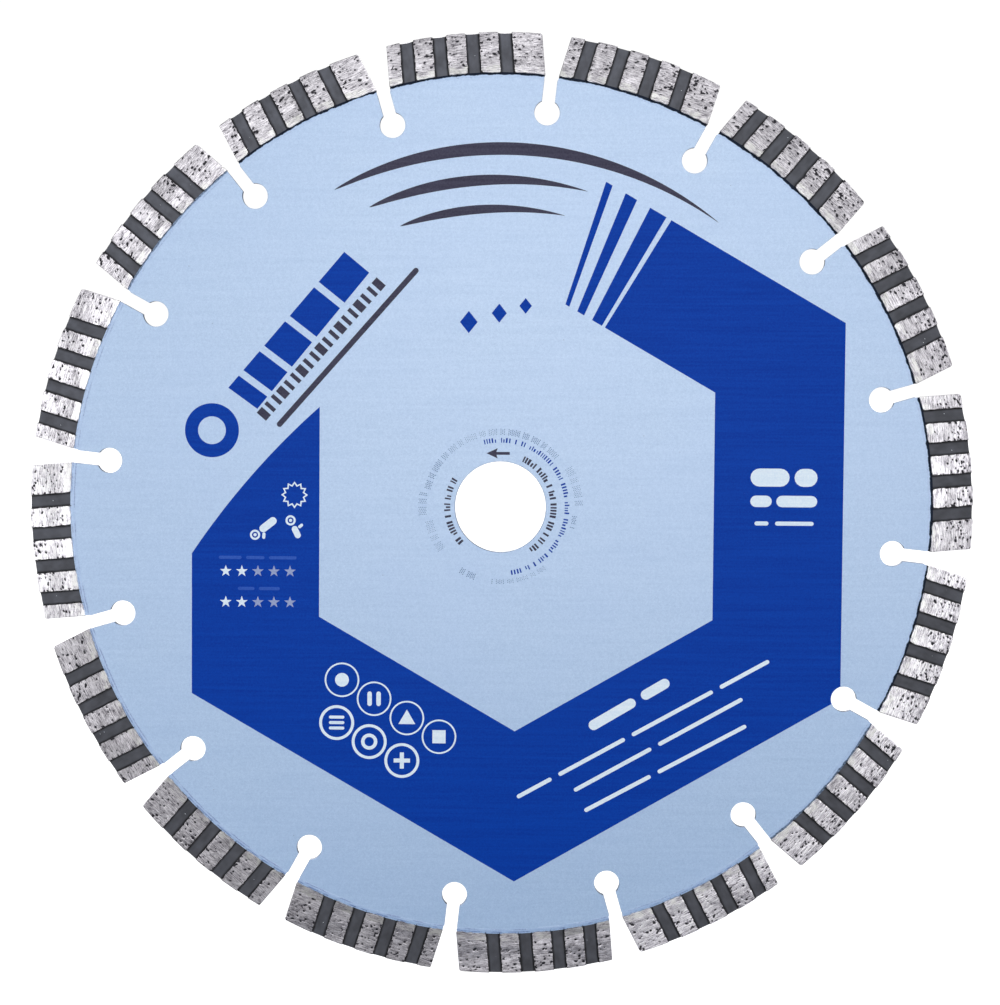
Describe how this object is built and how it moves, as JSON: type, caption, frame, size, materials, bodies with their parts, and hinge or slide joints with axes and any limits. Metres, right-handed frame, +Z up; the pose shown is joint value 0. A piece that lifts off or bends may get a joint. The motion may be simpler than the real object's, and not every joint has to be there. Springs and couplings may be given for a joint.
{
  "type": "diamond blade",
  "caption": "Flat round cutting blade with a steel core, keyhole gullets, a central arbor bore and grooved diamond segments welded round its rim.",
  "frame": {"origin": "centre of the arbor bore on the core's mid-plane", "axes": "+Z up, +Y along the spin axis from the printed front face to the back face, +X to the right seen from the front; the printed front face looks along -Y"},
  "size_m": [0.23, 0.0026, 0.23],
  "materials": {
    "lacquered_steel": "light blue lacquer, semi-gloss",
    "lacquered_weld": "thin light blue lacquer over a laser weld",
    "sintered_foot": "ground, fine scratches along the rim",
    "sintered_diamond": "ground, with dark diamond grains and pits",
    "print_ink": "screen-printed royal blue, slate and white ink"
  },
  "bodies": {
    "root": {"steel_core": "lacquered_steel", "weld_seam_01": "lacquered_weld", "weld_seam_02": "lacquered_weld", "weld_seam_03": "lacquered_weld", "weld_seam_04": "lacquered_weld", "weld_seam_05": "lacquered_weld", "weld_seam_06": "lacquered_weld", "weld_seam_07": "lacquered_weld", "weld_seam_08": "lacquered_weld", "weld_seam_09": "lacquered_weld", "weld_seam_10": "lacquered_weld", "weld_seam_11": "lacquered_weld", "weld_seam_12": "lacquered_weld", "weld_seam_13": "lacquered_weld", "weld_seam_14": "lacquered_weld", "weld_seam_15": "lacquered_weld", "weld_seam_16": "lacquered_weld", "segment_foot_01": "sintered_foot", "segment_foot_02": "sintered_foot", "segment_foot_03": "sintered_foot", "segment_foot_04": "sintered_foot", "segment_foot_05": "sintered_foot", "segment_foot_06": "sintered_foot", "segment_foot_07": "sintered_foot", "segment_foot_08": "sintered_foot", "segment_foot_09": "sintered_foot", "segment_foot_10": "sintered_foot", "segment_foot_11": "sintered_foot", "segment_foot_12": "sintered_foot", "segment_foot_13": "sintered_foot", "segment_foot_14": "sintered_foot", "segment_foot_15": "sintered_foot", "segment_foot_16": "sintered_foot", "diamond_segment_01": "sintered_diamond", "diamond_segment_02": "sintered_diamond", "diamond_segment_03": "sintered_diamond", "diamond_segment_04": "sintered_diamond", "diamond_segment_05": "sintered_diamond", "diamond_segment_06": "sintered_diamond", "diamond_segment_07": "sintered_diamond", "diamond_segment_08": "sintered_diamond", "diamond_segment_09": "sintered_diamond", "diamond_segment_10": "sintered_diamond", "diamond_segment_11": "sintered_diamond", "diamond_segment_12": "sintered_diamond", "diamond_segment_13": "sintered_diamond", "diamond_segment_14": "sintered_diamond", "diamond_segment_15": "sintered_diamond", "diamond_segment_16": "sintered_diamond"}
  },
  "joints": []
}
